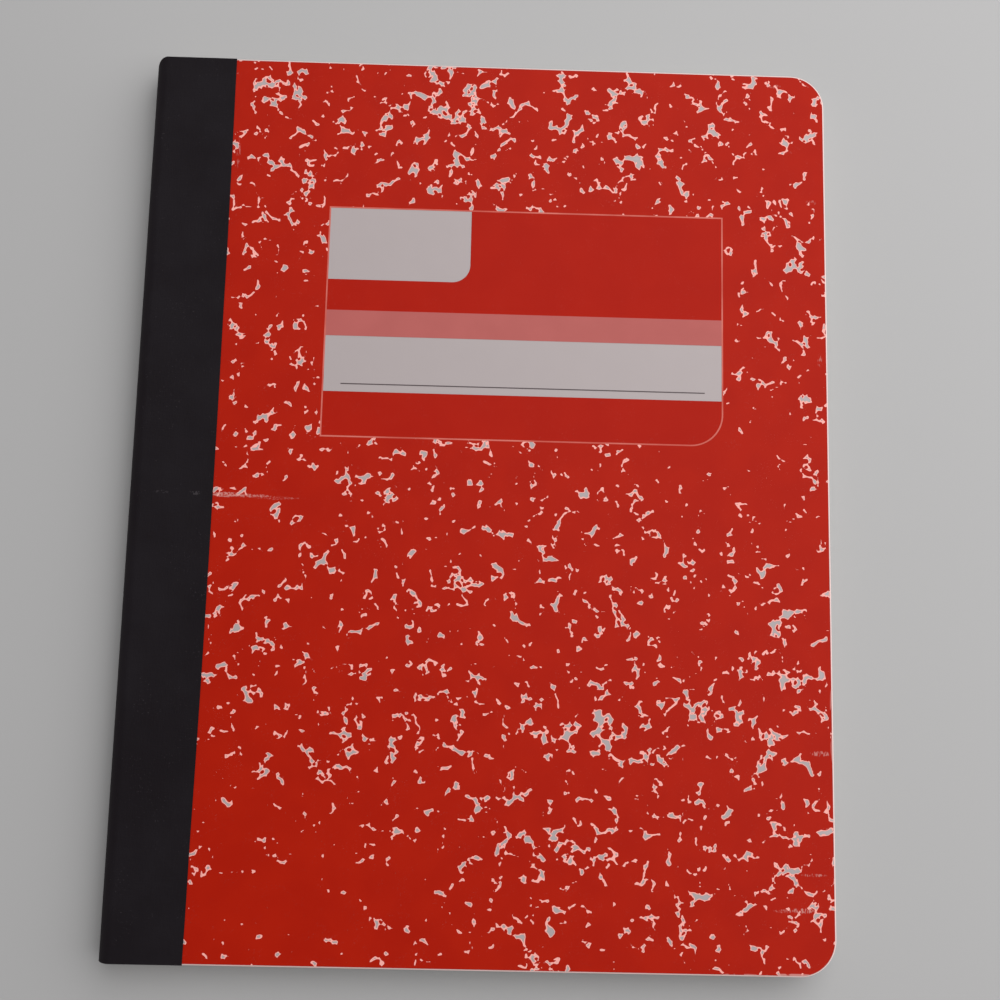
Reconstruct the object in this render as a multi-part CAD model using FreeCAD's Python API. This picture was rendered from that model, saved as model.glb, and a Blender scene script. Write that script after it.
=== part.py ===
import FreeCAD, Part
import math
import os
import random

# Composition notebook, closed, lying on its back cover. Millimetres.
# X runs from the spine to the fore-edge, Y from the tail to the head, Z up through the pages.
# The origin is under the middle of the closed book, on the surface that it lies on.

# Covers
COVER_WIDTH = 190.5
COVER_HEIGHT = 247.65
CORNER_RADIUS = 9.525
BOARD_THICKNESS = 0.9
LINER_THICKNESS = 0.1
PRINT_THICKNESS = 0.04

# Pages, folded once and sewn through the fold
LEAF_COUNT = 100
LEAF_THICKNESS = 0.078
PAGE_INSET = 0.25
FOLD_SLACK = 0.3

# Tape round the spine
TAPE_THICKNESS = 0.2
TAPE_ON_COVER = 22.05
SHOULDER_RADIUS = 3.5
HINGE_CLEARANCE = 0.05

# Sewing
THREAD_DIAMETER = 0.45
THREAD_SIDES = 8
THREAD_CLEARANCE = 0.1
THREAD_TAIL = 4.0
STITCH_LENGTH = 8.0
STITCH_MARGIN = 12.0

# Label printed on the front cover
LABEL_FROM_SPINE = 51.05
LABEL_FROM_HEAD = 43.1
LABEL_WIDTH = 110.4
LABEL_HEIGHT = 65.75
LABEL_CORNER = 9.0
LABEL_LINE = 0.4
TAB_WIDTH = 39.4
TAB_HEIGHT = 20.7
TAB_CORNER = 5.0
BAND_FROM_TOP = 29.55
BAND_HEIGHT = 7.3
FIELD_HEIGHT = 15.75
RULE_WIDTH = 0.3
RULE_MARGIN = 4.7
RULE_RISE = 2.05

# Marbling: bare flecks of board between fields of ink
FLECK_PITCH = 13.5
FLECK_GAP = 0.5
FLECK_LEAST = 3.0
FLECK_MOST = 6.5
FLECK_BORDER = 0.8
FLECK_SHARE = 0.75
FLECK_TIP_COUNTS = (3, 5)
FLECK_TIP_SHARES = (0.6, 1.0)
FLECK_WAIST_SHARES = (0.3, 0.5)
FLECK_TURN_SHARES = (-0.25, 0.25)
FLECK_SQUASH_SHARES = (0.45, 1.0)
FRONT_SEED = 7
BACK_SEED = 19

# A rounding, and the turn of the fold, take at most these shares of the wall that they turn
ROUND_SHARE = 0.45
FOLD_SHARE = 0.49

# Two points nearer than this are one
SAME_POINT = 1e-6

# How a swept section turns a sharp corner of its path
MITRED = 1

LEAF_STACK = LEAF_COUNT * LEAF_THICKNESS
COVER_STACK = TAPE_THICKNESS + BOARD_THICKNESS + LINER_THICKNESS

# Heights of the layers, from the table up
BACK_PRINT_Z = TAPE_THICKNESS
BACK_BOARD_Z = BACK_PRINT_Z + PRINT_THICKNESS
BACK_LINER_Z = BACK_PRINT_Z + BOARD_THICKNESS
PAGES_Z = BACK_LINER_Z + LINER_THICKNESS
FRONT_LINER_Z = PAGES_Z + LEAF_STACK
FRONT_BOARD_Z = FRONT_LINER_Z + LINER_THICKNESS
FRONT_TAPE_Z = FRONT_BOARD_Z + BOARD_THICKNESS
FRONT_PRINT_Z = FRONT_TAPE_Z - PRINT_THICKNESS
TOP_Z = FRONT_TAPE_Z + TAPE_THICKNESS
SHEET_OF_CARD = BOARD_THICKNESS - PRINT_THICKNESS

# Places across the book, from the spine
SHOULDER = min(SHOULDER_RADIUS, ROUND_SHARE * TOP_Z)
SPINE_X = -COVER_WIDTH / 2
FORE_X = COVER_WIDTH / 2
HINGE_X = SPINE_X + SHOULDER
COVER_X = HINGE_X + HINGE_CLEARANCE
TAPE_EDGE_X = SPINE_X + TAPE_ON_COVER
PAGES_X = SPINE_X + TAPE_THICKNESS
PAGES_FORE_X = FORE_X - PAGE_INSET
HALF_HEIGHT = COVER_HEIGHT / 2
PAGES_HALF_HEIGHT = HALF_HEIGHT - PAGE_INSET
FOLD_MIDDLE_Z = PAGES_Z + LEAF_STACK / 2


def flat(z):
    """Places a drawing's u, v on a level plane at height z."""
    return lambda u, v: FreeCAD.Vector(u, v, z)


def upright(y):
    """Places a drawing's u, v on an upright plane across the book at y."""
    return lambda u, v: FreeCAD.Vector(u, y, v)


def corner_arc(before, corner, after, radius):
    """First, middle and last point of the arc that rounds a corner."""
    arriving = (corner - before).normalize()
    leaving = (after - corner).normalize()
    turn = arriving.getAngle(leaving)
    reach = radius * math.tan(turn / 2)
    first = corner - arriving * reach
    last = corner + leaving * reach
    inward = (leaving - arriving).normalize()
    centre = corner + inward * (radius / math.cos(turn / 2))
    middle = centre - inward * radius
    return first, middle, last


def rounded_wire(corners, place):
    """Closed wire through the corners, which are (u, v, radius), with an arc at each radius."""
    points = [place(u, v) for u, v, radius in corners]
    count = len(points)
    stops = []
    for i, (u, v, radius) in enumerate(corners):
        if radius > 0:
            stops.append(corner_arc(points[i - 1], points[i], points[(i + 1) % count], radius))
        else:
            stops.append((points[i], None, points[i]))
    edges = []
    for i, (first, middle, last) in enumerate(stops):
        following = stops[(i + 1) % count][0]
        if middle is not None:
            edges.append(Part.Arc(first, middle, last).toShape())
        if last.distanceToPoint(following) > SAME_POINT:
            edges.append(Part.LineSegment(last, following).toShape())
    return Part.Wire(edges)


def plate(corners, z, thickness, holes=()):
    """Flat sheet of a rounded outline, with holes given as wires at the same height."""
    wires = [rounded_wire(corners, flat(z))] + list(holes)
    face = Part.makeFace(wires, "Part::FaceMakerBullseye")
    return face.extrude(FreeCAD.Vector(0, 0, thickness))


def bar(corners, half_length):
    """Solid of one cross-section, running the height of the book."""
    face = Part.Face(rounded_wire(corners, upright(-half_length)))
    return face.extrude(FreeCAD.Vector(0, 2 * half_length, 0))


def box_corners(left, right, low, high, fore_radius=0.0):
    """Rectangle whose two right-hand corners are rounded."""
    return [(left, low, 0.0), (right, low, fore_radius), (right, high, fore_radius), (left, high, 0.0)]


def cover_corners():
    """Outline of a cover board, square at the hinge and rounded at the fore-edge."""
    radius = min(CORNER_RADIUS, ROUND_SHARE * COVER_HEIGHT)
    return box_corners(COVER_X, FORE_X, -HALF_HEIGHT, HALF_HEIGHT, radius)


def stitch_places():
    """Heights of the sewing holes up the fold, an even number of them, centred."""
    run = COVER_HEIGHT - 2 * STITCH_MARGIN
    gaps = 2 * int(run / STITCH_LENGTH / 2) + 1
    return [(i - gaps / 2) * run / gaps for i in range(gaps + 1)]


def thread_lines():
    """Distances from the spine of the thread's outer and inner runs."""
    room = THREAD_DIAMETER / 2 + THREAD_CLEARANCE
    return PAGES_X + room, PAGES_X + LEAF_STACK / 2


def page_block():
    """Folded leaves as one solid, with the groove, the holes and the channel that the thread runs in."""
    fold = min(SHOULDER - COVER_STACK + FOLD_SLACK, FOLD_SHARE * LEAF_STACK)
    low = PAGES_Z
    high = PAGES_Z + LEAF_STACK
    section = [(PAGES_X, low, fold), (PAGES_FORE_X, low, 0.0), (PAGES_FORE_X, high, 0.0), (PAGES_X, high, fold)]
    radius = min(CORNER_RADIUS, ROUND_SHARE * COVER_HEIGHT) - PAGE_INSET
    trim = box_corners(SPINE_X, PAGES_FORE_X, -PAGES_HALF_HEIGHT, PAGES_HALF_HEIGHT, radius)
    block = bar(section, PAGES_HALF_HEIGHT).common(plate(trim, low, LEAF_STACK))
    return block.cut(thread_room())


def thread_room():
    """Everything that the thread needs cut from the pages."""
    room = THREAD_DIAMETER / 2 + THREAD_CLEARANCE
    outer, inner = thread_lines()
    places = stitch_places()
    tails = places[-1] + THREAD_TAIL + THREAD_CLEARANCE
    groove = bar(square(outer, FOLD_MIDDLE_Z, room), tails)
    channel = bar(square(inner, FOLD_MIDDLE_Z, room), places[-1] + room)
    along = FreeCAD.Vector(1, 0, 0)
    holes = []
    for y in places:
        start = FreeCAD.Vector(outer, y, FOLD_MIDDLE_Z)
        holes.append(Part.makeCylinder(room, inner - outer, start, along))
    return groove.fuse([channel] + holes)


def square(u, v, half):
    """Small square section about a point."""
    return box_corners(u - half, u + half, v - half, v + half)


def binding_thread():
    """One thread, faceted, that goes in and out of the fold, from tail to tail outside."""
    outer, inner = thread_lines()
    places = stitch_places()
    start = places[0] - THREAD_TAIL
    route = [(outer, start)]
    for i, y in enumerate(places):
        sides = (outer, inner) if i % 2 == 0 else (inner, outer)
        route += [(side, y) for side in sides]
    route.append((outer, places[-1] + THREAD_TAIL))
    at_fold = flat(FOLD_MIDDLE_Z)
    path = Part.makePolygon([at_fold(u, v) for u, v in route])
    turns = [2 * math.pi * i / THREAD_SIDES for i in range(THREAD_SIDES + 1)]
    half = THREAD_DIAMETER / 2
    ring = [(outer + half * math.cos(a), FOLD_MIDDLE_Z + half * math.sin(a)) for a in turns]
    section = Part.makePolygon([upright(start)(u, v) for u, v in ring])
    return path.makePipeShell([section], True, False, MITRED)


def spine_tape():
    """The part of the tape that turns round the fold, from hinge line to hinge line."""
    inner = SHOULDER - TAPE_THICKNESS
    section = [
        (HINGE_X, TOP_Z, 0.0),
        (SPINE_X, TOP_Z, SHOULDER),
        (SPINE_X, 0.0, SHOULDER),
        (HINGE_X, 0.0, 0.0),
        (HINGE_X, TAPE_THICKNESS, 0.0),
        (PAGES_X, TAPE_THICKNESS, inner),
        (PAGES_X, TOP_Z - TAPE_THICKNESS, inner),
        (HINGE_X, TOP_Z - TAPE_THICKNESS, 0.0),
    ]
    return bar(section, HALF_HEIGHT)


def tape_wing(z):
    """The flat part of the tape on one cover."""
    return plate(box_corners(COVER_X, TAPE_EDGE_X, -HALF_HEIGHT, HALF_HEIGHT), z, TAPE_THICKNESS)


def label_box(inset=0.0):
    """Left, right, low and high of the label, drawn in by an inset."""
    left = SPINE_X + LABEL_FROM_SPINE + inset
    right = SPINE_X + LABEL_FROM_SPINE + LABEL_WIDTH - inset
    high = HALF_HEIGHT - LABEL_FROM_HEAD - inset
    low = HALF_HEIGHT - LABEL_FROM_HEAD - LABEL_HEIGHT + inset
    return left, right, low, high


def label_corners(inset=0.0):
    """Outline of the label: only its corner at the foot of the fore-edge is round."""
    left, right, low, high = label_box(inset)
    return [(left, low, 0.0), (right, low, LABEL_CORNER - inset), (right, high, 0.0), (left, high, 0.0)]


def label_levels():
    """Heights of the foot of the tab, the top and foot of the band, and the foot of the name field."""
    high = label_box(LABEL_LINE)[3]
    band_top = high - BAND_FROM_TOP
    band_foot = band_top - BAND_HEIGHT
    return high - TAB_HEIGHT, band_top, band_foot, band_foot - FIELD_HEIGHT


def label_frame():
    """Thin line round the label."""
    hole = rounded_wire(label_corners(LABEL_LINE), flat(FRONT_PRINT_Z))
    return plate(label_corners(), FRONT_PRINT_Z, PRINT_THICKNESS, [hole])


def label_print():
    """Ink inside the label's line, left bare at the tab, the band and the name field."""
    left, right, low, high = label_box(LABEL_LINE)
    tab_foot, band_top, band_foot, field_foot = label_levels()
    tab_right = left + TAB_WIDTH
    tab = [(left, tab_foot, 0.0), (tab_right, tab_foot, TAB_CORNER), (tab_right, high, 0.0), (left, high, 0.0)]
    fields = box_corners(left, right, field_foot, band_top)
    ink = plate(label_corners(LABEL_LINE), FRONT_PRINT_Z, PRINT_THICKNESS)
    return ink.cut([plate(cut, FRONT_PRINT_Z, PRINT_THICKNESS) for cut in (tab, fields)])


def label_band():
    """Paler band across the label."""
    left, right, low, high = label_box(LABEL_LINE)
    tab_foot, band_top, band_foot, field_foot = label_levels()
    return plate(box_corners(left, right, band_foot, band_top), FRONT_PRINT_Z, PRINT_THICKNESS)


def name_rule():
    """Line to write on, low in the name field."""
    left, right, low, high = label_box(LABEL_LINE)
    foot = label_levels()[3] + RULE_RISE
    corners = box_corners(left + RULE_MARGIN, right - RULE_MARGIN, foot, foot + RULE_WIDTH)
    return plate(corners, FRONT_PRINT_Z, PRINT_THICKNESS)


def fleck_corners(rng, u, v, reach):
    """Star of a few tips with drawn-in sides, squashed along a random line."""
    tips = rng.randint(*FLECK_TIP_COUNTS)
    lean = rng.uniform(0, math.pi)
    squash = rng.uniform(*FLECK_SQUASH_SHARES)
    corners = []
    for i in range(2 * tips):
        share = rng.uniform(*(FLECK_TIP_SHARES if i % 2 == 0 else FLECK_WAIST_SHARES))
        angle = (i + rng.uniform(*FLECK_TURN_SHARES)) * math.pi / tips
        along = reach * share * math.cos(angle)
        across = reach * share * math.sin(angle) * squash
        du = along * math.cos(lean) - across * math.sin(lean)
        dv = along * math.sin(lean) + across * math.cos(lean)
        corners.append((u + du, v + dv, 0.0))
    return corners


def in_box(u, v, reach, box):
    """Whether a circle touches a box of left, right, low and high."""
    left, right, low, high = box
    du = max(left - u, 0, u - right)
    dv = max(low - v, 0, v - high)
    return math.hypot(du, dv) < reach


def on_cover(u, v, reach):
    """Whether a circle lies on the open face of a cover, inside its border and round corners."""
    room = reach + FLECK_BORDER
    if u < TAPE_EDGE_X + room or u > FORE_X - room or abs(v) > HALF_HEIGHT - room:
        return False
    du = u - (FORE_X - CORNER_RADIUS)
    dv = abs(v) - (HALF_HEIGHT - CORNER_RADIUS)
    return du < 0 or dv < 0 or math.hypot(du, dv) < CORNER_RADIUS - room


def fleck_wires(seed, z, kept_clear):
    """Flecks scattered one to a cell of an offset grid, so that none meets another."""
    rng = random.Random(seed)
    rows = int(COVER_HEIGHT / FLECK_PITCH) + 1
    columns = int(COVER_WIDTH / FLECK_PITCH) + 1
    wires = []
    for row in range(rows):
        for column in range(columns):
            shown = rng.random() < FLECK_SHARE
            reach = rng.uniform(FLECK_LEAST, min(FLECK_MOST, (FLECK_PITCH - FLECK_GAP) / 2))
            drift = (FLECK_PITCH - FLECK_GAP) / 2 - reach
            u = SPINE_X + (column + 0.5 * (row % 2)) * FLECK_PITCH + rng.uniform(-drift, drift)
            v = -HALF_HEIGHT + (row + 0.5) * FLECK_PITCH + rng.uniform(-drift, drift)
            corners = fleck_corners(rng, u, v, reach)
            blocked = kept_clear is not None and in_box(u, v, reach + FLECK_BORDER, kept_clear)
            if shown and on_cover(u, v, reach) and not blocked:
                wires.append(rounded_wire(corners, flat(z)))
    return wires


def front_print():
    """Marbled ink of the front cover, open where the label is."""
    label = rounded_wire(label_corners(), flat(FRONT_PRINT_Z))
    holes = [label] + fleck_wires(FRONT_SEED, FRONT_PRINT_Z, label_box())
    return plate(cover_corners(), FRONT_PRINT_Z, PRINT_THICKNESS, holes)


def back_print():
    """Marbled ink of the back cover."""
    holes = fleck_wires(BACK_SEED, BACK_PRINT_Z, None)
    return plate(cover_corners(), BACK_PRINT_Z, PRINT_THICKNESS, holes)


def build_parts():
    """Every piece of the notebook by name."""
    cover = cover_corners()
    return {
        "page_block": page_block(),
        "binding_thread": binding_thread(),
        "spine_tape": spine_tape(),
        "front_board": plate(cover, FRONT_BOARD_Z, SHEET_OF_CARD),
        "front_liner": plate(cover, FRONT_LINER_Z, LINER_THICKNESS),
        "front_print": front_print(),
        "front_tape": tape_wing(FRONT_TAPE_Z),
        "label_frame": label_frame(),
        "label_print": label_print(),
        "label_band": label_band(),
        "name_rule": name_rule(),
        "back_board": plate(cover, BACK_BOARD_Z, SHEET_OF_CARD),
        "back_liner": plate(cover, BACK_LINER_Z, LINER_THICKNESS),
        "back_print": back_print(),
        "back_tape": tape_wing(0.0),
    }


os.makedirs("parts", exist_ok=True)
for name, shape in build_parts().items():
    shape.exportStep("parts/" + name + ".step")
    print(name, len(shape.Solids), "solid", shape.isValid(), round(shape.Volume, 2))
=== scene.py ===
"""Composition notebook: marbled board covers, black tape round the spine, and ruled pages in one fold."""
import math

import bmesh
import bpy
import numpy as np
from mathutils import Matrix, Vector
from mathutils.geometry import delaunay_2d_cdt


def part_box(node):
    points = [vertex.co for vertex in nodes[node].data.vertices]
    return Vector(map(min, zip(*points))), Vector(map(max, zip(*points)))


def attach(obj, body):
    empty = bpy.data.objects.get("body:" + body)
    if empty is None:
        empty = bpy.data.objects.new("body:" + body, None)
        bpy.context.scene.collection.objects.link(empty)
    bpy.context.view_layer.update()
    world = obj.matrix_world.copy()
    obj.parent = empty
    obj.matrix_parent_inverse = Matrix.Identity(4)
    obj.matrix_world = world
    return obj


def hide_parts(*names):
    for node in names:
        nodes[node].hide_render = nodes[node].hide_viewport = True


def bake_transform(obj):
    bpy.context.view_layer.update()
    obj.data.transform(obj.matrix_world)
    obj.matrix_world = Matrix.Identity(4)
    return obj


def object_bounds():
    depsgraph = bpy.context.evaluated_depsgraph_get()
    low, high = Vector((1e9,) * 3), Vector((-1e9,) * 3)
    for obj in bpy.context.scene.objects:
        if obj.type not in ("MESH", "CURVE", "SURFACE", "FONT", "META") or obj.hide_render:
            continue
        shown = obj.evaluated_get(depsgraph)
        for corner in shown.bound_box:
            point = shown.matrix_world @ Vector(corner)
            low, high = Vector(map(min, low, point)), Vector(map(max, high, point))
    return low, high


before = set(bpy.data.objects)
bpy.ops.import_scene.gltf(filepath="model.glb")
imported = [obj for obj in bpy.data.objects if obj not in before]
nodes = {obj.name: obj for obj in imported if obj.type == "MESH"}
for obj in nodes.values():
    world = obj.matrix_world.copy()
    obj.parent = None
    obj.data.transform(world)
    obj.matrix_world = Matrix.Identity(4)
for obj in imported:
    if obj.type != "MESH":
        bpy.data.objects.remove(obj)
cad_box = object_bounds()

MM = 0.001

# The camera that took the photograph, in metres
CAMERA_PLACE = (-0.00039, -0.05402, 0.35488)
CAMERA_AIM = (0.00537, -0.00132, 0.0102)
CAMERA_TURN = math.radians(1.32)
CAMERA_LENS = 46.32

# The lamp, the light from all round, and the table top, in metres, watts and strength
KEY_PLACE = (0.48, 0.33, 0.64)
KEY_SIZE = 1.45
KEY_POWER = 12.4
ROOM_LIGHT = 0.295
TABLE_REACH = 3.0
TABLE_GAP = 0.02 * MM

# Covers
CORNER_RADIUS = 9.525 * MM
EDGE_ROUND = 0.34 * MM
CORNER_STEPS = 20
EDGE_STEPS = 5
FILM_INSET = 0.4 * MM
LABEL_CORNER = 9.0 * MM
LINING_INSET = 0.05 * MM
LINING_SLACK = 0.01 * MM

# Tape
TAPE_THICKNESS = 0.2 * MM
TAPE_SHIFT = 0.35 * MM
TAPE_DRIFT = 0.45 * MM
TAPE_BOW = 0.6 * MM
TAPE_WAVE = 0.06 * MM
TAPE_BEND = 2.5 * MM
TAPE_STEPS = 91
SPINE_RUB_REACH = 3.3 * MM
HEAD_RUB = 3.2 * MM
TAIL_RUB = 0.6 * MM

# Pages
FOLDED_SHEETS = 50
FOLD_RADIUS = 2.6 * MM
SHEET_SOLID = 0.9
LEAST_FOLD = 0.6
TRIM_SCATTER = 0.035 * MM
RULE_SPACING = 8.73 * MM
RULES = 25
HEADER = 31.75 * MM
MARGIN = 31.75 * MM
RULE_WIDTH = 0.3 * MM

# Marbling, in millimetres: the grid's step, the blur, and the width of thin ink round a bare fleck
MARBLE_STEP = 0.3
MARBLE_BLUR = 0.13
THIN_INK = 0.2
# Drops of ink: cell, least and most radius, share of cells with a drop, and seed
INK_DROPS = ((4.2, 1.35, 3.15, 0.95, 21), (1.8, 0.42, 1.2, 0.85, 31), (1.0, 0.15, 0.45, 0.5, 41))
# What the ground is warped by: cell, reach and seed
INK_FLOW = ((3.0, 0.9, 11), (0.9, 0.2, 13))
# How much ink there is: its level, and the cell, reach and seed of its drift
INK_LEVEL = 0.115
INK_DRIFT = (14.0, 0.12, 51)
# Where the front has less ink or more: X, Y, size and change of level
FRONT_PLACES = (
    (-55, 117, 20, 0.1), (-5, 118, 24, 0.19), (35, 106, 16, 0.09), (72, 106, 22, 0.13),
    (82, 54, 16, 0.1), (-62, 42, 14, 0.1), (12, -10, 14, 0.12), (-16, -64, 16, 0.1),
    (40, -64, 18, 0.2), (75, -52, 12, 0.14), (90, -92, 20, 0.2), (14, -94, 16, 0.12),
    (-50, -114, 24, -0.3), (68, 0, 20, -0.18), (74, 28, 12, -0.15), (-50, 62, 12, -0.12),
    (70, -121, 12, -0.12), (-27, -24, 14, -0.1),
)
BACK_PLACES = ((-30, 90, 30, 0.15), (60, -70, 30, 0.15), (50, 40, 26, -0.15))
BACK_SHIFT = 517.0

SPINE_X, TAIL_Y, TABLE_Z = cad_box[0]
FORE_X, HEAD_Y, TOP_Z = cad_box[1]
HALF_HEIGHT = (HEAD_Y - TAIL_Y) / 2
HINGE_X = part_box("spine_tape")[1].x
TAPE_EDGE_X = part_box("front_tape")[1].x
SHOULDER = HINGE_X - SPINE_X


def srgb(red, green, blue, alpha=1.0):
    """A colour given as screen bytes, as the linear shares that a shader takes."""
    shares = np.array([red, green, blue]) / 255
    linear = np.where(shares < 0.04045, shares / 12.92, ((shares + 0.055) / 1.055) ** 2.4)
    return (*linear.tolist(), alpha)


# Shapes


def make_piece(name, points, faces, finish, smooth=None, closed=True):
    """Mesh object from points and faces. A closed one has its faces turned outwards."""
    mesh = bpy.data.meshes.new(name)
    mesh.from_pydata(np.asarray(points).tolist(), [], [list(face) for face in faces])
    if closed:
        shell = bmesh.new()
        shell.from_mesh(mesh)
        bmesh.ops.recalc_face_normals(shell, faces=shell.faces)
        shell.to_mesh(mesh)
        shell.free()
    if smooth is not None:
        mesh.shade_smooth()
        mesh.set_sharp_from_angle(angle=math.radians(smooth))
    mesh.materials.append(finish.material)
    piece = bpy.data.objects.new(name, mesh)
    bpy.context.scene.collection.objects.link(piece)
    return piece


def grid_quads(index):
    """Quads between the neighbours of a grid of point numbers."""
    return np.stack([index[:-1, :-1], index[1:, :-1], index[1:, 1:], index[:-1, 1:]], -1).reshape(-1, 4)


def thin_solid(outer, inner):
    """Points and quads of a closed thin solid: two grids of one shape, joined all round their borders."""
    count = outer.shape[0] * outer.shape[1]
    index = np.arange(count).reshape(outer.shape[:2])
    border = np.concatenate([index[:, 0], index[-1, 1:], index[::-1, -1][1:], index[0, ::-1][1:]])
    wall = np.stack([border[:-1], border[1:], border[1:] + count, border[:-1] + count], -1)
    points = np.concatenate([outer.reshape(-1, 3), inner.reshape(-1, 3)])
    return points, np.concatenate([grid_quads(index), grid_quads(index + count), wall])


def rounded_outline(left, right, low, high, radius, steps=CORNER_STEPS):
    """Rectangle with quarter circles at its right-hand corners, anticlockwise from the low left one."""
    turn = np.linspace(-math.pi / 2, 0, steps)
    foot = np.stack([right - radius + radius * np.cos(turn), low + radius + radius * np.sin(turn)], -1)
    head = np.stack([right - radius - radius * np.sin(turn), high - radius + radius * np.cos(turn)], -1)
    return np.concatenate([[[left, low]], foot, head, [[left, high]]])


def spine_rub(x, most):
    """How far an end of the spine is rubbed in at x: a quarter ellipse, deepest at the spine."""
    share = np.clip((SPINE_X + SPINE_RUB_REACH - x) / SPINE_RUB_REACH, 0, 1)
    return most * (1 - np.sqrt(1 - share**2))


def tail_and_head(x, fore, half, radius):
    """Y of a sheet's tail and head at x: half its height, less its round corners and the spine's rubs."""
    into = np.clip(x - (fore - radius), 0, radius)
    full = half - radius + np.sqrt(radius**2 - into**2)
    return np.stack([spine_rub(x, TAIL_RUB) - full, full - spine_rub(x, HEAD_RUB)], -1)


def stacked_rings(rings):
    """Points and faces of a closed solid: rings one above the other, capped flat at both ends."""
    length = len(rings[0])
    points = np.concatenate(rings)
    index = np.arange(len(points)).reshape(len(rings), length)
    closed = np.concatenate([index, index[:, :1]], 1)
    faces = grid_quads(closed).tolist()
    return points, faces + [index[0, ::-1].tolist(), index[-1].tolist()]


def smooth_step(share):
    """A share from 0 to 1, eased at both ends: three times its square, less twice its cube."""
    return share * share * (3 - 2 * share)


def lattice_share(column, row, salt):
    """A repeatable share from 0 to 1 for each lattice point: its numbers, multiplied and mixed bitwise."""
    mixed = (column * 374761393 + row * 668265263 + salt * 2147483647) & 0xFFFFFFFF
    mixed = ((mixed ^ (mixed >> 13)) * 1274126177) & 0xFFFFFFFF
    mixed = ((mixed ^ (mixed >> 16)) * 2246822519) & 0xFFFFFFFF
    return ((mixed ^ (mixed >> 15)) & 0xFFFFFF) / 0x1000000


def soft_noise(x, y, cell, salt):
    """Noise from -1 to 1: lattice shares, eased from one lattice point to the next."""
    column = np.floor(x / cell).astype(np.int64)
    row = np.floor(y / cell).astype(np.int64)
    across = smooth_step(x / cell - column)
    up = smooth_step(y / cell - row)
    right, above = column + 1, row + 1
    low = lattice_share(column, row, salt) * (1 - across) + lattice_share(right, row, salt) * across
    high = lattice_share(column, above, salt) * (1 - across) + lattice_share(right, above, salt) * across
    return 2 * (low * (1 - up) + high * up) - 1


def disc_distance(x, y, cell, least, most, share, salt):
    """Distance to the nearest disc's edge, negative inside. Each lattice cell may hold one disc."""
    column = np.floor(x / cell).astype(np.int64)
    row = np.floor(y / cell).astype(np.int64)
    nearest = np.full(x.shape, 10.0)
    for i in (-1, 0, 1):
        for j in (-1, 0, 1):
            a, b = column + i, row + j
            centre_x = (a + lattice_share(a, b, salt)) * cell
            centre_y = (b + lattice_share(a, b, salt + 1)) * cell
            radius = least + (most - least) * lattice_share(a, b, salt + 2)
            there = lattice_share(a, b, salt + 3) < share
            distance = np.hypot(x - centre_x, y - centre_y) - radius
            nearest = np.where(there, np.minimum(nearest, distance), nearest)
    return nearest


def blurred(field, width):
    """The field averaged with a bell curve of that width in grid steps, along each way in turn."""
    bell = np.exp(-0.5 * (np.arange(-2, 3) / width) ** 2)
    bell /= bell.sum()
    for way in (0, 1):
        padded = np.pad(field, 2, mode="edge")
        middle = padded[:, 2:-2] if way == 0 else padded[2:-2, :]
        length = field.shape[way]
        field = sum(bell[k] * np.take(middle, range(k, k + length), axis=way) for k in range(5))
    return field


def marble_field(x, y, shift, places):
    """Above zero where the board is bare: distance to the nearest drop on warped ground, less the level."""
    flow_x = sum(reach * soft_noise(x + shift, y, cell, salt) for cell, reach, salt in INK_FLOW)
    flow_y = sum(reach * soft_noise(x + shift, y, cell, salt + 1) for cell, reach, salt in INK_FLOW)
    u, v = x + shift + flow_x, y + flow_y
    field = np.min([disc_distance(u, v, *drops) for drops in INK_DROPS], axis=0)
    cell, reach, salt = INK_DRIFT
    level = INK_LEVEL - reach * soft_noise(x + shift, y, cell, salt)
    for place_x, place_y, size, change in places:
        level = level - change * np.exp(-((x - place_x) ** 2 + (y - place_y) ** 2) / size**2)
    return blurred(np.clip(field - level, -1, 1), MARBLE_BLUR / MARBLE_STEP)


def contour(field, xs, ys):
    """Points and segments of the line where a grid's field is zero, one or two segments to a cell."""
    inside = field > 0
    across = inside[:-1] != inside[1:]
    up = inside[:, :-1] != inside[:, 1:]
    number_across = np.full(across.shape, -1)
    number_up = np.full(up.shape, -1)
    number_across[across] = np.arange(across.sum())
    number_up[up] = across.sum() + np.arange(up.sum())
    step = xs[1] - xs[0]
    i, j = np.nonzero(across)
    share = field[i, j] / (field[i, j] - field[i + 1, j])
    on_rows = np.stack([xs[i] + step * share, ys[j]], -1)
    i, j = np.nonzero(up)
    share = field[i, j] / (field[i, j] - field[i, j + 1])
    on_columns = np.stack([xs[i], ys[j] + step * share], -1)
    foot, head = number_across[:, :-1], number_across[:, 1:]
    left, right = number_up[:-1, :], number_up[1:, :]
    case = inside[:-1, :-1] + 2 * inside[1:, :-1] + 4 * inside[1:, 1:] + 8 * inside[:-1, 1:]
    crossings = {
        1: [(left, foot)], 2: [(foot, right)], 3: [(left, right)], 4: [(right, head)],
        5: [(left, foot), (right, head)], 6: [(foot, head)], 7: [(left, head)], 8: [(head, left)],
        9: [(head, foot)], 10: [(foot, right), (head, left)], 11: [(head, right)],
        12: [(right, left)], 13: [(right, foot)], 14: [(foot, left)],
    }
    segments = [
        np.stack([start[case == key], end[case == key]], -1)
        for key, pairs in crossings.items()
        for start, end in pairs
    ]
    return np.concatenate([on_rows, on_columns]), np.concatenate(segments)


def outline_distance(x, y, left, right, low, high, radius_low, radius_high):
    """Distance to a rectangle with two round corners on the right, negative inside."""
    radius = np.where(x < (left + right) / 2, 0, np.where(y < (low + high) / 2, radius_low, radius_high))
    dx = np.abs(x - (left + right) / 2) - (right - left) / 2 + radius
    dy = np.abs(y - (low + high) / 2) - (high - low) / 2 + radius
    return np.hypot(np.maximum(dx, 0), np.maximum(dy, 0)) + np.minimum(np.maximum(dx, dy), 0) - radius


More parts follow.
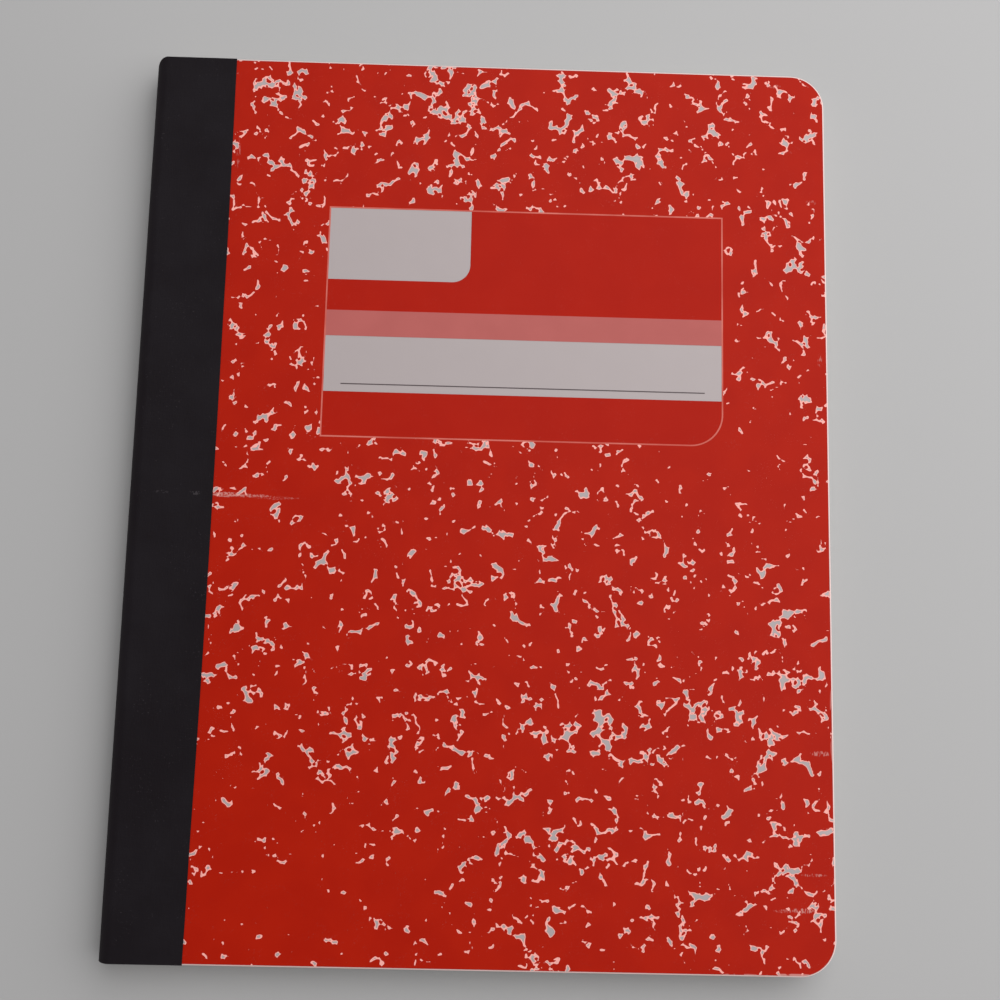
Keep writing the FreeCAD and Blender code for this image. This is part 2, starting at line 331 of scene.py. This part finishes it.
def closed_line(ring):
    """A ring of points, and the edges round it."""
    number = np.arange(len(ring))
    return ring, np.stack([number, np.roll(number, -1)], -1)


def joined_lines(lines):
    """Points and edges of several lines as one set, with the edges renumbered."""
    starts = np.cumsum([0] + [len(points) for points, _ in lines])
    edges = [line_edges + start for (_, line_edges), start in zip(lines, starts)]
    return np.concatenate([points for points, _ in lines]), np.concatenate(edges)


def field_at(field, xs, ys, x, y):
    """The field between its grid points: the four values round each place, weighed by nearness."""
    column = np.clip((x - xs[0]) / MARBLE_STEP, 0, len(xs) - 1.001)
    row = np.clip((y - ys[0]) / MARBLE_STEP, 0, len(ys) - 1.001)
    i, j = column.astype(int), row.astype(int)
    across, up = column - i, row - j
    low = field[i, j] * (1 - across) + field[i + 1, j] * across
    high = field[i, j + 1] * (1 - across) + field[i + 1, j + 1] * across
    return low * (1 - up) + high * up


def label_ring(left, right, low, high, radius):
    """Outline of the label, round only at its low right corner."""
    turn = np.linspace(-math.pi / 2, 0, CORNER_STEPS)
    foot = np.stack([right - radius + radius * np.cos(turn), low + radius + radius * np.sin(turn)], -1)
    return np.concatenate([[[left, low]], foot, [[right, high], [left, high]]])


def marbled_film(name, node, shift, places, label, finish):
    """Film of ink: the cover's outline, triangulated round bare flecks, which are left out with the label."""
    lowest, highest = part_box(node)
    on_front = node.startswith("front")
    cover = [lowest.x, highest.x - FILM_INSET, lowest.y + FILM_INSET, highest.y - FILM_INSET]
    cover = [side / MM for side in cover]
    left, right, low, high = cover
    corner = (CORNER_RADIUS - FILM_INSET) / MM
    xs = np.arange(left - 1, right + 1, MARBLE_STEP)
    ys = np.arange(low - 1, high + 1, MARBLE_STEP)
    x, y = np.meshgrid(xs, ys, indexing="ij")
    field = np.where(x > TAPE_EDGE_X / MM - 1, marble_field(x, y, shift, places), -1)
    lines = [contour(field - level, xs, ys) for level in (0, THIN_INK)]
    lines.append(closed_line(rounded_outline(*cover, corner)))
    if label is not None:
        label_low, label_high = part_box(label)
        label_box = [side / MM for side in (label_low.x, label_high.x, label_low.y, label_high.y)]
        lines.append(closed_line(label_ring(*label_box, LABEL_CORNER / MM)))
    points, edges = joined_lines(lines)
    made = delaunay_2d_cdt([Vector(p) for p in points.tolist()], edges.tolist(), [], 0, 1e-6, False)
    points = np.array([tuple(p) for p in made[0]])
    triangles = np.array(made[2])
    middle_x, middle_y = points[triangles].mean(1).T
    bareness = field_at(field, xs, ys, middle_x, middle_y)
    inked = (bareness <= THIN_INK) & (outline_distance(middle_x, middle_y, *cover, corner, corner) < 0)
    if label is not None:
        inked &= outline_distance(middle_x, middle_y, *label_box, LABEL_CORNER / MM, 0) > 0
    used, numbers = np.unique(triangles[inked], return_inverse=True)
    points, triangles = points[used], numbers.reshape(-1, 3)
    if not on_front:
        triangles = triangles[:, ::-1]
    height = np.full((len(points), 1), highest.z if on_front else lowest.z)
    film = make_piece(name, np.concatenate([points * MM, height], 1), triangles, finish, closed=False)
    thin = film.data.attributes.new("thin_ink", "FLOAT", "FACE")
    thin.data.foreach_set("value", (bareness[inked] > 0).astype(np.float32))
    plan = film.data.uv_layers.new(name="OFBake")
    shares = (points[triangles.ravel()] - [left, low]) / (high - low) * 0.99 + 0.005
    plan.data.foreach_set("uv", shares.astype(np.float32).ravel())
    return film


def cover_board(name, node, finish):
    """Board with its cut edges rounded over: its outline, drawn in on a quarter circle at top and foot."""
    lowest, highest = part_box(node)
    turn = np.linspace(0, math.pi / 2, EDGE_STEPS)
    drawn_in = EDGE_ROUND * (1 - np.sin(turn))
    passed = EDGE_ROUND * (1 - np.cos(turn))
    insets = np.concatenate([drawn_in, passed])
    heights = np.concatenate([lowest.z + passed, highest.z - drawn_in])
    rings = []
    for inset, z in zip(insets, heights):
        sides = [lowest.x + inset, highest.x - inset, lowest.y + inset, highest.y - inset]
        ring = rounded_outline(*sides, CORNER_RADIUS - inset)
        rings.append(np.concatenate([ring, np.full((len(ring), 1), z)], 1))
    return make_piece(name, *stacked_rings(rings), finish, smooth=35)


def mirrored(points):
    """The same points at the back cover: turned over about the middle of the book's thickness."""
    return points * [1, 1, -1] + [0, 0, TOP_Z + TABLE_Z]


def tape_half(name, on_front, finish):
    """Half of the tape: up the spine, over the shoulder on a quarter circle, and flat to its edge."""
    middle = (TOP_Z + TABLE_Z) / 2
    rise = np.linspace(middle, TOP_Z - SHOULDER, 4)[:-1]
    turn = np.linspace(math.pi, math.pi / 2, 15)
    bend = np.linspace(0, TAPE_BEND, 11)[1:]
    rest = np.linspace(0, 1, 16)[1:]
    along = np.linspace(-HALF_HEIGHT, HALF_HEIGHT, TAPE_STEPS)
    share = along / HALF_HEIGHT
    edge = TAPE_EDGE_X + TAPE_SHIFT + TAPE_DRIFT * share + TAPE_BOW * (1 - share**2)
    edge = edge + TAPE_WAVE * soft_noise(along / MM, 0 * along, 23.0, 61 if on_front else 62)
    grids = []
    for depth in (0.0, TAPE_THICKNESS):
        radius = SHOULDER - depth
        x = np.concatenate([0 * rise + HINGE_X - radius, HINGE_X + radius * np.cos(turn), HINGE_X + bend])
        z = np.concatenate([rise, TOP_Z - SHOULDER + radius * np.sin(turn), 0 * bend + TOP_Z - depth])
        x = np.repeat(x[:, None], len(along), 1)
        z = np.repeat(z[:, None], len(along), 1)
        flat_x = x[-1] + rest[:, None] * (edge - x[-1])
        x = np.concatenate([x, flat_x])
        z = np.concatenate([z, 0 * flat_x + TOP_Z - depth])
        y = along * (1 - spine_rub(x, np.where(along > 0, HEAD_RUB, TAIL_RUB)) / HALF_HEIGHT)
        grid = np.stack([x, y, z], -1)
        grids.append(grid if on_front else mirrored(grid))
    return make_piece(name, *thin_solid(*grids), finish, smooth=40)


def endpaper(name, on_front, finish):
    """Lining paper: flat under the cover board and on over the fold's turn, where it joins the pages."""
    liner_low, liner_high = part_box("front_liner")
    turn_x = SPINE_X + TAPE_THICKNESS + FOLD_RADIUS
    hinge_end = HINGE_X + 0.4 * MM
    fore = FORE_X - LINING_INSET
    turn = np.linspace(math.radians(140), math.pi / 2, 16)
    near = np.linspace(turn_x, hinge_end, 14)[1:]
    far = np.linspace(hinge_end, FORE_X - CORNER_RADIUS, 16)[1:]
    corner = np.linspace(math.pi / 2, 0, CORNER_STEPS)[1:]
    flat_x = np.concatenate([near, far, fore - CORNER_RADIUS + CORNER_RADIUS * np.cos(corner)])
    grids = []
    for z in (liner_high.z - LINING_SLACK, liner_low.z + LINING_SLACK):
        radius = FOLD_RADIUS + z - liner_low.z
        x = np.concatenate([turn_x + radius * np.cos(turn), flat_x])
        heights = np.concatenate([z - radius + radius * np.sin(turn), 0 * flat_x + z])
        y = tail_and_head(x, fore, HALF_HEIGHT - LINING_INSET, CORNER_RADIUS)
        grid = np.stack([x[:, None] + 0 * y, y, heights[:, None] + 0 * y], -1)
        grids.append(grid if on_front else mirrored(grid))
    return make_piece(name, *thin_solid(*grids), finish, smooth=40)


def folded_sheet(depth, thickness, fore, shift_y):
    """One folded pair of leaves as two grids: over the top, round the fold on two arcs and back below."""
    low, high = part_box("page_block")
    grids = []
    for d in (depth, depth + thickness):
        top, foot, back = high.z - d, low.z + d, low.x + d
        radius = max(FOLD_RADIUS - d, LEAST_FOLD * (top - foot) / 2)
        radius = min(radius, (top - foot) / 2 - 1e-6)
        corner = np.linspace(0, math.pi / 2, CORNER_STEPS // 2)
        fore_x = fore - CORNER_RADIUS + CORNER_RADIUS * np.cos(corner)
        turn = np.linspace(math.pi / 2, math.pi, 7)
        upper_x = np.concatenate([fore_x, [0.0], back + radius + radius * np.cos(turn)])
        upper_z = np.concatenate([0 * fore_x + top, [top], top - radius + radius * np.sin(turn)])
        x = np.concatenate([upper_x, upper_x[::-1]])
        z = np.concatenate([upper_z, top + foot - upper_z[::-1]])
        y = tail_and_head(x, fore, high.y, CORNER_RADIUS) + shift_y
        grids.append(np.stack([x[:, None] + 0 * y, y, z[:, None] + 0 * y], -1))
    return grids


def page_leaves(name, finish):
    """Every folded sheet, one inside the other, each trimmed a hair differently, in one mesh."""
    rng = np.random.default_rng(5)
    low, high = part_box("page_block")
    pitch = (high.z - low.z) / 2 / FOLDED_SHEETS
    points, faces, tones = [], [], []
    start = 0
    for k in range(FOLDED_SHEETS):
        trim = high.x - abs(rng.normal(0, TRIM_SCATTER))
        sheet = folded_sheet(k * pitch, pitch * SHEET_SOLID, trim, rng.normal(0, TRIM_SCATTER))
        sheet_points, sheet_faces = thin_solid(*sheet)
        points.append(sheet_points)
        faces.append(sheet_faces + start)
        tones.append(np.full(len(sheet_points), rng.random()))
        start += len(sheet_points)
    piece = make_piece(name, np.concatenate(points), np.concatenate(faces), finish, smooth=40)
    tone = piece.data.attributes.new("leaf_tone", "FLOAT", "POINT")
    tone.data.foreach_set("value", np.concatenate(tones).astype(np.float32))
    return piece


# Finishes


class Sock:
    """A node's output. An operator on it adds a Math node and gives that node's output."""

    def __init__(self, finish, socket):
        self.finish = finish
        self.socket = socket

    def math(self, operation, *values):
        """Adds a Math node on some values."""
        return self.finish.node("ShaderNodeMath", {"operation": operation}, dict(enumerate(values)))

    def __add__(self, other):
        return self.math("ADD", self, other)

    def __radd__(self, other):
        return self.math("ADD", other, self)

    def __sub__(self, other):
        return self.math("SUBTRACT", self, other)

    def __rsub__(self, other):
        return self.math("SUBTRACT", other, self)

    def __mul__(self, other):
        return self.math("MULTIPLY", self, other)

    def __rmul__(self, other):
        return self.math("MULTIPLY", other, self)

    def __truediv__(self, other):
        return self.math("DIVIDE", self, other)

    def __lt__(self, other):
        return self.math("LESS_THAN", self, other)

    def __gt__(self, other):
        return self.math("GREATER_THAN", self, other)

    def __abs__(self):
        return self.math("ABSOLUTE", self)

    def greater(self, other):
        """The greater of two values."""
        return self.math("MAXIMUM", self, other)

    def within(self, low, high):
        """0 at low and under, 1 at high and over, eased between them."""
        settings = {"interpolation_type": "SMOOTHSTEP"}
        sockets = {"Value": self, "From Min": low, "From Max": high}
        return self.finish.node("ShaderNodeMapRange", settings, sockets)


class Finish:
    """A material, and the few ways in which its nodes are added."""

    def __init__(self, name, roughness, **fixed):
        self.material = bpy.data.materials.new(name)
        self.material.use_nodes = True
        self.tree = self.material.node_tree
        self.shader = self.tree.nodes["Principled BSDF"]
        self.set(Roughness=roughness, **fixed)
        self.place = self.node("ShaderNodeTexCoord", {}, {}, "Object")
        self.x = self.node("ShaderNodeSeparateXYZ", {}, {"Vector": self.place}, "X")
        self.y = self.node("ShaderNodeSeparateXYZ", {}, {"Vector": self.place}, "Y")

    def node(self, kind, settings, sockets, out=0):
        """Adds a node: its settings first, then its sockets' values and links. Gives one of its outputs."""
        made = self.tree.nodes.new(kind)
        for key, value in settings.items():
            setattr(made, key, value)
        for key, value in sockets.items():
            if isinstance(value, Sock):
                self.tree.links.new(value.socket, made.inputs[key])
            else:
                made.inputs[key].default_value = value
        return Sock(self, made.outputs[out])

    def set(self, **sockets):
        """Sets or links the shader's sockets, whose names are written with _ for a space."""
        for key, value in sockets.items():
            socket = self.shader.inputs[key.replace("_", " ")]
            if isinstance(value, Sock):
                self.tree.links.new(value.socket, socket)
            else:
                socket.default_value = value

    def paint(self, colour):
        """Sets the surface's colour and keeps it, for what is laid over it."""
        self.colour = colour
        self.set(Base_Color=colour)

    def mix(self, share, first, second):
        """Two colours mixed by a share."""
        return self.node("ShaderNodeMix", {"data_type": "RGBA"}, {0: share, 6: first, 7: second}, 2)

    def noise(self, scale, detail=2.0, roughness=0.5, stretch=(1, 1, 1)):
        """Noise of about that many features to the metre."""
        place = self.node("ShaderNodeMapping", {}, {"Vector": self.place, "Scale": stretch})
        sockets = {"Vector": place, "Scale": scale, "Detail": detail, "Roughness": roughness}
        return self.node("ShaderNodeTexNoise", {}, sockets, "Fac")

    def bump(self, height, distance, strength=1.0):
        """Makes the surface's normal follow a height, in metres."""
        sockets = {"Height": height, "Distance": distance, "Strength": strength}
        self.set(Normal=self.node("ShaderNodeBump", {}, sockets, "Normal"))

    def rub(self, place_x, place_y, half_x, half_y, strength):
        """Mask of a rubbed spot in millimetres: an ellipse, strongest in the middle."""
        across = (self.x - place_x * MM) / (half_x * MM)
        up = (self.y - place_y * MM) / (half_y * MM)
        return (1 - (across * across + up * up).within(0.15, 1.0)) * strength

    def rubs(self, spots, grain):
        """Mask of several rubbed spots, the strongest at each place, broken up by grain."""
        worn = self.rub(*spots[0])
        for spot in spots[1:]:
            worn = worn.greater(self.rub(*spot))
        return (worn + (grain - 1)).within(0.0, 0.5) * worn


RED = srgb(178, 28, 5)
RED_DARK = srgb(173, 25, 4)
LABEL_RED = srgb(175, 25, 4)
THIN_RED = srgb(255, 181, 171)
WORN_RED = srgb(214, 150, 142)
WHITE = srgb(180, 169, 169)
PINK = srgb(187, 101, 97)
PALE_LINE = srgb(214, 118, 106)
INK_ROUGHNESS = 0.4

# Rubs and scratches, in millimetres: X, Y, half width, half height and strength
SCUFFS = (
    (-68.5, -1.7, 6.5, 0.95, 0.95), (-62.0, -1.9, 7.5, 0.7, 0.8), (-55.0, -2.3, 9.0, 0.6, 0.55),
)
NICKS = (
    (91.8, -67.0, 3.6, 0.9, 0.75), (89.5, -98.2, 4.2, 0.55, 0.7), (93.0, -86.5, 2.0, 0.5, 0.6),
    (86.5, -107.2, 4.6, 0.85, 0.9), (81.5, -107.4, 3.5, 0.6, 0.65), (81.0, 120.6, 3.0, 0.8, 0.55),
    (91.5, 86.0, 2.2, 0.9, 0.5), (93.2, 40.0, 1.0, 3.0, 0.5), (-70.5, 96.0, 0.8, 6.0, 0.5),
)
HEM_WEAR = ((84.0, -123.3, 9.0, 0.5, 1.0), (70.0, -123.4, 7.0, 0.35, 0.7), (94.7, -60.0, 0.4, 16.0, 0.6))
TAPE_RUBS = ((-77.0, -1.5, 2.4, 0.8, 0.6), (-86.0, -1.4, 3.0, 0.6, 0.45))


def ink_finish(name, colour, deep):
    """Ink printed on coated board: faint mottle, pinholes of lighter ink, and a satin face."""
    finish = Finish(name, INK_ROUGHNESS, Specular_IOR_Level=0.08)
    colour = finish.mix(finish.noise(90, 3.0).within(0.3, 0.7), deep, colour)
    pinholes = (finish.noise(5200, 1.0) > 0.735) * finish.noise(260, 2.0).within(0.5, 0.62)
    finish.paint(finish.mix(pinholes * 0.55, colour, WORN_RED))
    finish.bump(finish.noise(1400, 4.0, 0.6), 0.006 * MM, 0.6)
    return finish


def marbled_ink_finish(name):
    """The covers' red, which is thin where it ends round a bare fleck."""
    finish = ink_finish(name, RED, RED_DARK)
    thin = finish.node("ShaderNodeAttribute", {"attribute_name": "thin_ink"}, {}, "Fac")
    finish.paint(finish.mix(thin, finish.colour, THIN_RED))
    return finish


def front_ink_finish():
    """The front cover's red, with the rubs and scratches that the cover has."""
    finish = marbled_ink_finish("red_ink_front")
    ticks = finish.noise(2600, 2.0, 0.5, (1, 0.3, 1)).within(0.35, 0.65)
    dust = finish.noise(2400, 3.0, 0.7, (0.7, 1, 1)).within(0.35, 0.65)
    dashes = finish.noise(420, 2.0, 0.5, (1, 0.2, 1)).within(0.44, 0.56)
    worn = finish.rubs(NICKS, ticks).greater(finish.rubs(SCUFFS, dust))
    worn = worn.greater(finish.rubs(HEM_WEAR, dashes))
    finish.paint(finish.mix(worn * 0.8, finish.colour, WORN_RED))
    finish.set(Roughness=INK_ROUGHNESS + 0.25 * worn)
    return finish


def board_finish():
    """White-faced board: clean on its face, fibrous where it is cut, and a painted highlight, pale pink, on
    its rounded outer edge.
    """
    finish = Finish("white_faced_board", 0.55, Specular_IOR_Level=0.35)
    normal = finish.node("ShaderNodeTexCoord", {}, {}, "Normal")
    up = finish.node("ShaderNodeSeparateXYZ", {}, {"Vector": normal}, "Z")
    height = finish.node("ShaderNodeSeparateXYZ", {}, {"Vector": finish.place}, "Z")
    outward = up * (2 * (height > (TOP_Z + TABLE_Z) / 2) - 1)
    layers = finish.noise(300, 3.0, 0.6, (1, 1, 14))
    core = finish.mix(layers.within(0.3, 0.7), srgb(188, 180, 172), srgb(208, 200, 192))
    # Painted highlight: the rounded outer edge, turned partly up, is painted a pale pink far paler than the
    # board's face.
    core = finish.mix(outward.within(0.05, 0.3), core, srgb(250, 214, 207))
    face = finish.mix(finish.noise(160, 3.0).within(0.3, 0.7), srgb(179, 168, 168), WHITE)
    finish.paint(finish.mix(outward.within(0.95, 0.999), core, face))
    finish.bump(finish.noise(1600, 4.0, 0.6), 0.003 * MM, 0.6)
    return finish


def tape_finish():
    """Black book tape: a fine crossed grain, faint cloudy wear, a dull sheen, and painted sheen along the
    spine's shoulder.
    """
    finish = Finish("black_book_tape", 0.6, Specular_IOR_Level=0.1)
    cloud = finish.noise(45, 4.0, 0.6)
    colour = finish.mix(cloud.within(0.3, 0.75), srgb(23, 18, 22), srgb(29, 25, 29))
    fleck = (finish.noise(2600, 1.0) > 0.72) * finish.noise(150, 2.0).within(0.5, 0.6)
    colour = finish.mix(fleck * 0.35, colour, srgb(74, 68, 72))
    # Painted sheen: the tape is painted lighter over its rounded shoulder, within 3.5 mm of the spine.
    shoulder = 1 - (finish.x - SPINE_X).within(0, 3.5 * MM)
    colour = finish.mix(shoulder * 0.8, colour, srgb(40, 34, 38))
    rubbed = finish.rubs(TAPE_RUBS, finish.noise(1800, 2.0).within(0.35, 0.65))
    finish.paint(finish.mix(rubbed * 0.5, colour, srgb(96, 90, 93)))
    warp = finish.noise(2600, 2.0, 0.5, (1, 0.22, 1))
    weft = finish.noise(2600, 2.0, 0.5, (0.22, 1, 1))
    finish.bump(warp + weft, 0.04 * MM, 1.0)
    finish.set(Roughness=0.56 + 0.14 * cloud)
    return finish


def page_finish():
    """Writing paper with blue rules and a red margin line. Each sheet has a slightly different tone."""
    finish = Finish("ruled_paper", 0.72, Specular_IOR_Level=0.25)
    tone = finish.node("ShaderNodeAttribute", {"attribute_name": "leaf_tone"}, {}, "Fac")
    paper = finish.mix(tone, srgb(204, 200, 193), srgb(224, 221, 214))
    normal = finish.node("ShaderNodeTexCoord", {}, {}, "Normal")
    up = finish.node("ShaderNodeSeparateXYZ", {}, {"Vector": normal}, "Z")
    steps = ((HEAD_Y - HEADER) - finish.y) / RULE_SPACING
    off_line = abs(steps - steps.math("ROUND", steps)) * RULE_SPACING
    rules = (off_line < RULE_WIDTH / 2) * (steps > -0.5) * (steps < RULES - 0.5)
    margin_below, margin_above = FORE_X - MARGIN, SPINE_X + MARGIN
    margin_x = margin_below + (up > 0) * (margin_above - margin_below)
    margin = abs(finish.x - margin_x) < RULE_WIDTH / 2
    facing = abs(up) > 0.9
    paper = finish.mix(rules * facing * 0.75, paper, srgb(122, 152, 190))
    finish.paint(finish.mix(margin * facing * 0.75, paper, srgb(205, 110, 120)))
    finish.bump(finish.noise(1800, 4.0, 0.6), 0.01 * MM, 0.6)
    return finish


def liner_finish():
    """Plain smooth lining paper."""
    finish = Finish("lining_paper", 0.65, Specular_IOR_Level=0.3)
    fibres = finish.noise(500, 4.0, 0.6)
    finish.paint(finish.mix(fibres.within(0.3, 0.7), srgb(206, 203, 197), srgb(210, 207, 202)))
    finish.bump(finish.noise(1500, 4.0, 0.6), 0.01 * MM, 0.6)
    return finish


def thread_finish():
    """White cotton thread with a twist."""
    finish = Finish("cotton_thread", 0.8, Sheen_Weight=0.2)
    twist = finish.noise(2400, 2.0, 0.5, (3, 1, 1))
    finish.paint(finish.mix(twist, srgb(196, 192, 184), srgb(220, 217, 210)))
    finish.bump(twist, 0.04 * MM, 0.8)
    return finish


def rule_finish():
    """Dark grey ink of the line to write on."""
    finish = Finish("grey_ink", 0.5)
    finish.paint(finish.mix(finish.noise(700, 2.0), srgb(64, 50, 52), srgb(82, 68, 70)))
    return finish


# The notebook


def dress(node, finish):
    """Gives a kept CAD piece its finish."""
    mesh = nodes[node].data
    mesh.materials.clear()
    mesh.materials.append(finish.material)


def make_covers():
    """Boards, inks and lining papers of both covers."""
    board = board_finish()
    liner = liner_finish()
    inks = {"front": front_ink_finish(), "back": marbled_ink_finish("red_ink_back")}
    for side, shift, places, label in (
        ("front", 0.0, FRONT_PLACES, "label_frame"),
        ("back", BACK_SHIFT, BACK_PLACES, None),
    ):
        body = side + "_cover"
        card = cover_board(side + "_cover_board", side + "_board", board)
        film = marbled_film(side + "_marbling", side + "_print", shift, places, label, inks[side])
        lining = endpaper(side + "_lining_paper", side == "front", liner)
        for piece, node, slot in (
            (card, side + "_board", "board"),
            (film, side + "_print", "red_ink"),
        ):
            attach(piece, body)
            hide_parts(node)
        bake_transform(lining)
        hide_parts(side + "_liner")


def make_label():
    """The label's inks, on the pieces that carry them."""
    dress("label_print", ink_finish("red_ink_label", LABEL_RED, srgb(172, 23, 3)))
    dress("label_frame", ink_finish("pale_ink", PALE_LINE, srgb(198, 88, 76)))
    dress("label_band", ink_finish("pink_ink", PINK, srgb(183, 98, 94)))
    dress("name_rule", rule_finish())


def make_tape():
    """The tape, as two halves that meet down the middle of the spine."""
    finish = tape_finish()
    for side in ("front", "back"):
        half = tape_half(side + "_half_of_tape", side == "front", finish)
        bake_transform(half)
        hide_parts(side + "_tape", "spine_tape")


def make_pages():
    """The folded leaves and the thread that holds them."""
    leaves = page_leaves("ruled_leaves", page_finish())
    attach(leaves, "page_body")
    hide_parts("page_block")
    dress("binding_thread", thread_finish())


# The studio


def make_floor():
    """Plain pale table top, paler far out, where less of the lamp's light falls."""
    finish = Finish("pale_table", 0.6, Specular_IOR_Level=0.2)
    from_x, from_y = finish.x - KEY_PLACE[0], finish.y - KEY_PLACE[1]
    far = (from_x * from_x + from_y * from_y).within(0.6, 4.0)
    finish.paint(finish.mix(far, srgb(182, 181, 181), srgb(240, 240, 240)))
    corners = np.array([(-1, -1, 0), (1, -1, 0), (1, 1, 0), (-1, 1, 0)]) * TABLE_REACH - [0, 0, TABLE_GAP]
    floor = make_piece("table_top", corners, [(0, 1, 2, 3)], finish, closed=False)


def make_light(name, place, aim, size, power):
    """Square soft lamp at a place, turned to a point."""
    lamp = bpy.data.lights.new(name, "AREA")
    lamp.size = size
    lamp.energy = power
    held = bpy.data.objects.new(name, lamp)
    held.location = place
    held.rotation_euler = (Vector(aim) - Vector(place)).to_track_quat("-Z", "Y").to_euler()
    bpy.context.scene.collection.objects.link(held)


def make_world(strength):
    """Even light from all round."""
    world = bpy.data.worlds.new("studio")
    world.use_nodes = True
    background = world.node_tree.nodes["Background"]
    background.inputs["Color"].default_value = (1, 1, 1, 1)
    background.inputs["Strength"].default_value = strength
    bpy.context.scene.world = world


def make_camera():
    """Camera at the photograph's place, aimed at the cover, with its top turned a little from the head."""
    camera = bpy.data.cameras.new("camera")
    camera.lens = CAMERA_LENS
    camera.clip_start = 0.01
    held = bpy.data.objects.new("camera", camera)
    ahead = (Vector(CAMERA_AIM) - Vector(CAMERA_PLACE)).normalized()
    up_hint = Vector((-math.sin(CAMERA_TURN), math.cos(CAMERA_TURN), 0))
    right = ahead.cross(up_hint).normalized()
    up = right.cross(ahead)
    turned = Matrix((right, up, -ahead)).transposed().to_4x4()
    held.matrix_world = Matrix.Translation(CAMERA_PLACE) @ turned
    bpy.context.scene.collection.objects.link(held)
    bpy.context.scene.camera = held


make_camera()
make_floor()
make_world(ROOM_LIGHT)
make_light("key", KEY_PLACE, (0, 0, 0), KEY_SIZE, KEY_POWER)
make_covers()
make_label()
make_tape()
make_pages()

bpy.context.scene.view_settings.view_transform = "Standard"
